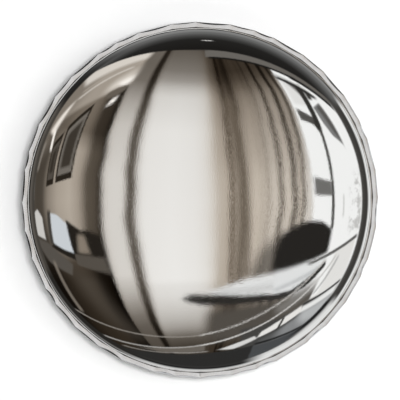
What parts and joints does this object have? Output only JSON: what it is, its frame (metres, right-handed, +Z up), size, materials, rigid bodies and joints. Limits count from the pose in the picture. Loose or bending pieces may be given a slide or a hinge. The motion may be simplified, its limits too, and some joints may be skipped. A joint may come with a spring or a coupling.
{
  "type": "wall-mounted convex traffic mirror",
  "caption": "Round convex mirror with a polished domed face, a hammered silver rim and a dished rear cover, on a wall bracket that pans and tilts.",
  "frame": {"origin": "centre of the wall plate's back face, on the wall", "axes": "+Z up, +Y out of the wall plate's back into the wall, so the mirror faces -Y; +X is to the right when looking at the mirror"},
  "size_m": [0.6, 0.2094, 0.5999],
  "materials": {
    "mirror_face": "polished",
    "hammered_rim": "satin",
    "rubber_seal": "matte",
    "painted_cover": "satin",
    "bracket_steel": "satin",
    "casting": "matte",
    "nylon_bush": "satin",
    "zinc_fastener": "satin"
  },
  "bodies": {
    "wall_bracket": {"wall_plate": "bracket_steel", "pan_yoke": "bracket_steel", "pan_bolt": "zinc_fastener", "pan_nut": "zinc_fastener", "pan_washer_upper": "zinc_fastener", "pan_washer_lower": "zinc_fastener"},
    "swivel": {"swivel_block": "casting", "pan_bush_upper": "nylon_bush", "pan_bush_lower": "nylon_bush", "tilt_bush_left": "nylon_bush", "tilt_bush_right": "nylon_bush"},
    "mirror_head": {"mirror_dome": "mirror_face", "rim_band": "hammered_rim", "dome_gasket": "rubber_seal", "rear_cover": "painted_cover", "vent_grommet": "rubber_seal", "rim_joint_plate": "bracket_steel", "joint_screw_1": "zinc_fastener", "joint_screw_2": "zinc_fastener", "rim_screw_01": "zinc_fastener", "rim_screw_02": "zinc_fastener", "rim_screw_03": "zinc_fastener", "rim_screw_04": "zinc_fastener", "rim_screw_05": "zinc_fastener", "rim_screw_06": "zinc_fastener", "rim_screw_07": "zinc_fastener", "rim_screw_08": "zinc_fastener", "rim_screw_09": "zinc_fastener", "rim_screw_10": "zinc_fastener", "rim_screw_11": "zinc_fastener", "rim_screw_12": "zinc_fastener", "head_plate": "bracket_steel", "backing_plate": "bracket_steel", "hub_bolt_upper_left": "zinc_fastener", "hub_washer_upper_left": "zinc_fastener", "hub_nut_upper_left": "zinc_fastener", "hub_bolt_upper_right": "zinc_fastener", "hub_washer_upper_right": "zinc_fastener", "hub_nut_upper_right": "zinc_fastener", "hub_bolt_lower_left": "zinc_fastener", "hub_washer_lower_left": "zinc_fastener", "hub_nut_lower_left": "zinc_fastener", "hub_bolt_lower_right": "zinc_fastener", "hub_washer_lower_right": "zinc_fastener", "hub_nut_lower_right": "zinc_fastener", "tilt_yoke": "bracket_steel", "tilt_bolt": "zinc_fastener", "tilt_nut": "zinc_fastener", "tilt_washer_left": "zinc_fastener", "tilt_washer_right": "zinc_fastener"}
  },
  "joints": [
    {"name": "pan", "type": "hinge", "parent": "wall_bracket", "child": "swivel", "pos_m": [0, -0.0253, 0], "axis": [0, 0, 1], "range_deg": [-10, 10]},
    {"name": "tilt", "type": "hinge", "parent": "swivel", "child": "mirror_head", "pos_m": [0, -0.0473, 0], "axis": [1, 0, 0], "range_deg": [-10, 10]}
  ]
}
